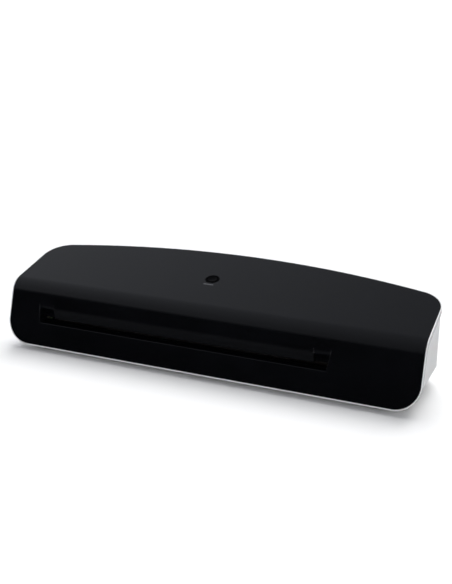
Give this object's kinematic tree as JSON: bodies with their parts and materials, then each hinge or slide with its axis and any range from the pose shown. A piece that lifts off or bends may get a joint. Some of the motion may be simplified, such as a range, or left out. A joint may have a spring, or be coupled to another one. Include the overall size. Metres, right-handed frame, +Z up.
{
  "type": "pouch laminator",
  "caption": "Desktop A4 pouch laminator: bent black cover with a front exit slot and power button, white rim and case, rear entry mouth, geared hot rollers inside.",
  "frame": {"origin": "on the surface it stands on, under the middle of the machine's overall box", "axes": "+X to the machine's right seen from the front, +Y to its back, +Z up; the pouch comes out towards -Y"},
  "size_m": [0.3398, 0.103, 0.0707],
  "materials": {
    "black_shell": "satin black moulded ABS",
    "white_shell": "fine satin white ABS",
    "black_guide": "fine textured black",
    "black_gloss": "polished black",
    "rubber": "matt",
    "steel": "turned steel",
    "plated_steel": "zinc-plated sheet",
    "aluminium": "mill finish",
    "brass": "turned",
    "silicone": "smooth dark silicone",
    "nylon": "natural nylon",
    "ceramic_strip": "mica and ceramic",
    "board": "solder resist over glass fibre",
    "board_parts": "moulded parts",
    "label": "blank silver label"
  },
  "bodies": {
    "root": {"front_cover": "black_shell", "rim_frame": "white_shell", "lower_case": "white_shell", "lower_entry_guide": "black_guide", "upper_entry_guide": "black_guide", "exit_guides": "black_guide", "rubber_feet": "rubber", "case_screws": "steel", "rating_plate": "label", "button_ring": "black_gloss", "control_board": "board", "tact_switch": "black_guide", "board_parts": "board_parts", "board_screws": "steel", "left_side_plate": "plated_steel", "right_side_plate": "plated_steel", "tie_bars": "steel", "roller_bushes": "nylon", "frame_screws": "steel", "upper_heater_plate": "aluminium", "lower_heater_plate": "aluminium", "upper_heater_strip": "ceramic_strip", "lower_heater_strip": "ceramic_strip", "heater_holders": "nylon", "thermostat": "black_guide", "thermal_fuse": "steel", "idler_pin": "steel", "drive_motor": "plated_steel", "motor_stand": "plated_steel", "motor_screws": "steel", "power_board": "board", "mains_inlet": "black_guide", "inlet_pins": "brass"},
    "power_button": {"power_button": "black_gloss"},
    "lower_exit_roller": {"lower_exit_roller": "silicone", "lower_exit_shaft": "steel", "lower_exit_gear": "nylon"},
    "upper_exit_roller": {"upper_exit_roller": "silicone", "upper_exit_shaft": "steel", "upper_exit_gear": "nylon"},
    "lower_entry_roller": {"lower_entry_roller": "silicone", "lower_entry_shaft": "steel", "lower_entry_gear": "nylon"},
    "upper_entry_roller": {"upper_entry_roller": "silicone", "upper_entry_shaft": "steel", "upper_entry_gear": "nylon"},
    "idler": {"idler_gear": "nylon"},
    "motor_pinion": {"motor_pinion": "brass", "motor_shaft": "steel"}
  },
  "joints": [
    {"name": "power_button_press", "type": "slide", "parent": "root", "child": "power_button", "axis": [0, 0.225, -0.9744], "range_m": [0, 0.001], "stiffness_N_per_m": 900, "springref_m": -0.0006},
    {"name": "lower_exit_roller_spin", "type": "hinge", "parent": "root", "child": "lower_exit_roller", "pos_m": [0, -0.02257, 0.0228], "axis": [1, 0, 0], "continuous": true},
    {"name": "upper_exit_roller_spin", "type": "hinge", "parent": "root", "child": "upper_exit_roller", "pos_m": [0, -0.02598, 0.03555], "axis": [1, 0, 0], "continuous": true},
    {"name": "lower_entry_roller_spin", "type": "hinge", "parent": "root", "child": "lower_entry_roller", "pos_m": [0, 0.01105, 0.03181], "axis": [1, 0, 0], "continuous": true},
    {"name": "upper_entry_roller_spin", "type": "hinge", "parent": "root", "child": "upper_entry_roller", "pos_m": [0, 0.00763, 0.04456], "axis": [1, 0, 0], "continuous": true},
    {"name": "idler_spin", "type": "hinge", "parent": "root", "child": "idler", "pos_m": [0, -0.00576, 0.0273], "axis": [1, 0, 0], "continuous": true},
    {"name": "motor_spin", "type": "hinge", "parent": "root", "child": "motor_pinion", "pos_m": [0, -0.0098, 0.04237], "axis": [1, 0, 0], "continuous": true}
  ],
  "couplings": [
    {"joint": "upper_exit_roller_spin", "follows": "lower_exit_roller_spin", "ratio": -1},
    {"joint": "idler_spin", "follows": "lower_exit_roller_spin", "ratio": -0.61111},
    {"joint": "lower_entry_roller_spin", "follows": "lower_exit_roller_spin", "ratio": 1},
    {"joint": "upper_entry_roller_spin", "follows": "lower_exit_roller_spin", "ratio": -1},
    {"joint": "motor_spin", "follows": "lower_exit_roller_spin", "ratio": 1.375}
  ]
}
